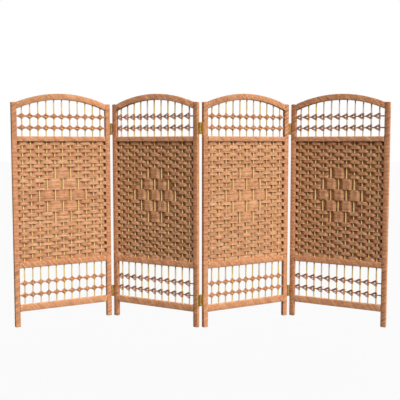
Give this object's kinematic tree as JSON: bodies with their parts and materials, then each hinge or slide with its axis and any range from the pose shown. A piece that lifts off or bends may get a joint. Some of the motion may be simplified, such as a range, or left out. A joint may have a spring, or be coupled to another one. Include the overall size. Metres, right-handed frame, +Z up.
{
  "type": "woven folding screen",
  "caption": "Zigzag folding screen of hinged panels: rope-wrapped frames with arched tops, reeds woven with fiber, and open knotted lattice bands above and below.",
  "frame": {"origin": "on the floor, under the middle of the screen as it stands in its zigzag", "axes": "+X along the screen to the viewer's right, +Y from its front to its back, +Z up"},
  "size_m": [1.882, 0.2792, 1.177],
  "materials": {
    "frame_wood": "plain sawn wood, hidden under the wrapping",
    "wrapped_fiber": "twisted fiber rope wound round the frame",
    "woven_fiber": "twisted fiber rope, woven",
    "lattice_fiber": "twisted fiber rope, knotted",
    "reed": "peeled straw-coloured reed",
    "brass": "plated brass, slightly dulled"
  },
  "bodies": {
    "panel_1": {"panel_1_left_post": "frame_wood", "panel_1_right_post": "frame_wood", "panel_1_arch_rail": "frame_wood", "panel_1_upper_rail": "frame_wood", "panel_1_lower_rail": "frame_wood", "panel_1_bottom_rail": "frame_wood", "panel_1_frame_wrapping": "wrapped_fiber", "panel_1_rail_dowels": "frame_wood", "panel_1_reeds": "reed", "panel_1_weft_rows": "woven_fiber", "panel_1_lattice_cords": "lattice_fiber", "panel_1_hinge_screws": "brass", "panel_1_right_hinge_leaves": "brass"},
    "panel_2": {"panel_2_left_post": "frame_wood", "panel_2_right_post": "frame_wood", "panel_2_arch_rail": "frame_wood", "panel_2_upper_rail": "frame_wood", "panel_2_lower_rail": "frame_wood", "panel_2_bottom_rail": "frame_wood", "panel_2_frame_wrapping": "wrapped_fiber", "panel_2_rail_dowels": "frame_wood", "panel_2_reeds": "reed", "panel_2_weft_rows": "woven_fiber", "panel_2_lattice_cords": "lattice_fiber", "panel_2_hinge_screws": "brass", "panel_2_left_hinge_leaves": "brass", "panel_2_right_hinge_leaves": "brass", "left_hinge_pins": "brass", "middle_hinge_pins": "brass"},
    "panel_3": {"panel_3_left_post": "frame_wood", "panel_3_right_post": "frame_wood", "panel_3_arch_rail": "frame_wood", "panel_3_upper_rail": "frame_wood", "panel_3_lower_rail": "frame_wood", "panel_3_bottom_rail": "frame_wood", "panel_3_frame_wrapping": "wrapped_fiber", "panel_3_rail_dowels": "frame_wood", "panel_3_reeds": "reed", "panel_3_weft_rows": "woven_fiber", "panel_3_lattice_cords": "lattice_fiber", "panel_3_hinge_screws": "brass", "panel_3_left_hinge_leaves": "brass", "panel_3_right_hinge_leaves": "brass", "right_hinge_pins": "brass"},
    "panel_4": {"panel_4_left_post": "frame_wood", "panel_4_right_post": "frame_wood", "panel_4_arch_rail": "frame_wood", "panel_4_upper_rail": "frame_wood", "panel_4_lower_rail": "frame_wood", "panel_4_bottom_rail": "frame_wood", "panel_4_frame_wrapping": "wrapped_fiber", "panel_4_rail_dowels": "frame_wood", "panel_4_reeds": "reed", "panel_4_weft_rows": "woven_fiber", "panel_4_lattice_cords": "lattice_fiber", "panel_4_hinge_screws": "brass", "panel_4_left_hinge_leaves": "brass"}
  },
  "joints": [
    {"name": "left_fold", "type": "hinge", "parent": "panel_2", "child": "panel_1", "pos_m": [-0.47297, 0.1206, 0], "axis": [0, 0, 1], "range_deg": [-60, 120]},
    {"name": "middle_fold", "type": "hinge", "parent": "panel_2", "child": "panel_3", "pos_m": [0, -0.1206, 0], "axis": [0, 0, 1], "range_deg": [-60, 120]},
    {"name": "right_fold", "type": "hinge", "parent": "panel_3", "child": "panel_4", "pos_m": [0.47297, 0.1206, 0], "axis": [0, 0, -1], "range_deg": [-60, 120]}
  ]
}
